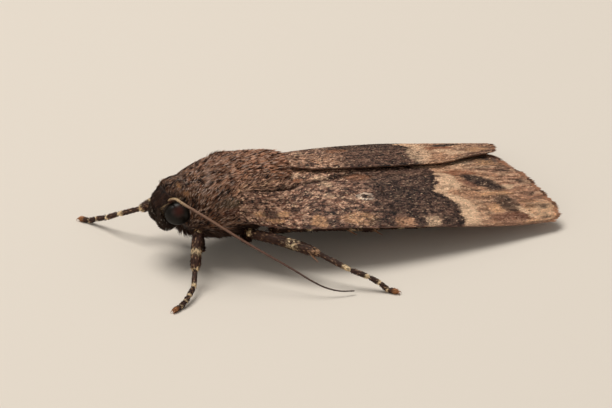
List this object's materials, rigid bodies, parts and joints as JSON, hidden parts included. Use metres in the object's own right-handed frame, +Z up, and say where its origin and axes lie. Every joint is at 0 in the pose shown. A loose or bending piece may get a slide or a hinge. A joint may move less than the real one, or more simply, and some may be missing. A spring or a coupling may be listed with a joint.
{
  "type": "moth",
  "caption": "Brown mottled moth at rest on six legs, wings closed in a low roof and feelers swept back, still and life size.",
  "frame": {"origin": "floor point at the middle of the moth's box", "axes": "+X from the head to the tail, +Y to the moth's right side, +Z up"},
  "size_m": [0.0318, 0.0226, 0.0074],
  "materials": {
    "brown_hair": "matt, hair-like scales, brown with grey and tan tips",
    "abdomen_hair": "matt, close grey-brown scales",
    "eye": "glossy near-black, fine facets",
    "palp_scales": "matt near-black scales with a few white flecks",
    "tongue": "satin brown cuticle",
    "feeler": "satin red-brown, cream scales on the upper side near the base",
    "forewing_scales": "matt scales, dark brown marbled with tan, pink-grey and cream marks",
    "hindwing_scales": "matt copper-orange scales, grey-brown at the front edge",
    "leg_scales": "matt dark brown scales, cream rings at the joints"
  },
  "bodies": {
    "root": {"head": "brown_hair", "collar": "brown_hair", "thorax": "brown_hair", "tegula_left": "brown_hair", "tegula_right": "brown_hair", "abdomen": "abdomen_hair", "eye_left": "eye", "eye_right": "eye", "palp_left": "palp_scales", "palp_right": "palp_scales", "proboscis": "tongue", "antenna_left": "feeler", "antenna_right": "feeler", "forewing_left": "forewing_scales", "forewing_right": "forewing_scales", "hindwing_left": "hindwing_scales", "hindwing_right": "hindwing_scales", "foreleg_left_femur": "leg_scales", "foreleg_left_tibia": "leg_scales", "foreleg_left_tarsus": "leg_scales", "foreleg_right_femur": "leg_scales", "foreleg_right_tibia": "leg_scales", "foreleg_right_tarsus": "leg_scales", "midleg_left_femur": "leg_scales", "midleg_left_tibia": "leg_scales", "midleg_left_tarsus": "leg_scales", "midleg_right_femur": "leg_scales", "midleg_right_tibia": "leg_scales", "midleg_right_tarsus": "leg_scales", "hindleg_left_femur": "leg_scales", "hindleg_left_tibia": "leg_scales", "hindleg_left_tarsus": "leg_scales", "hindleg_right_femur": "leg_scales", "hindleg_right_tibia": "leg_scales", "hindleg_right_tarsus": "leg_scales"}
  },
  "joints": []
}
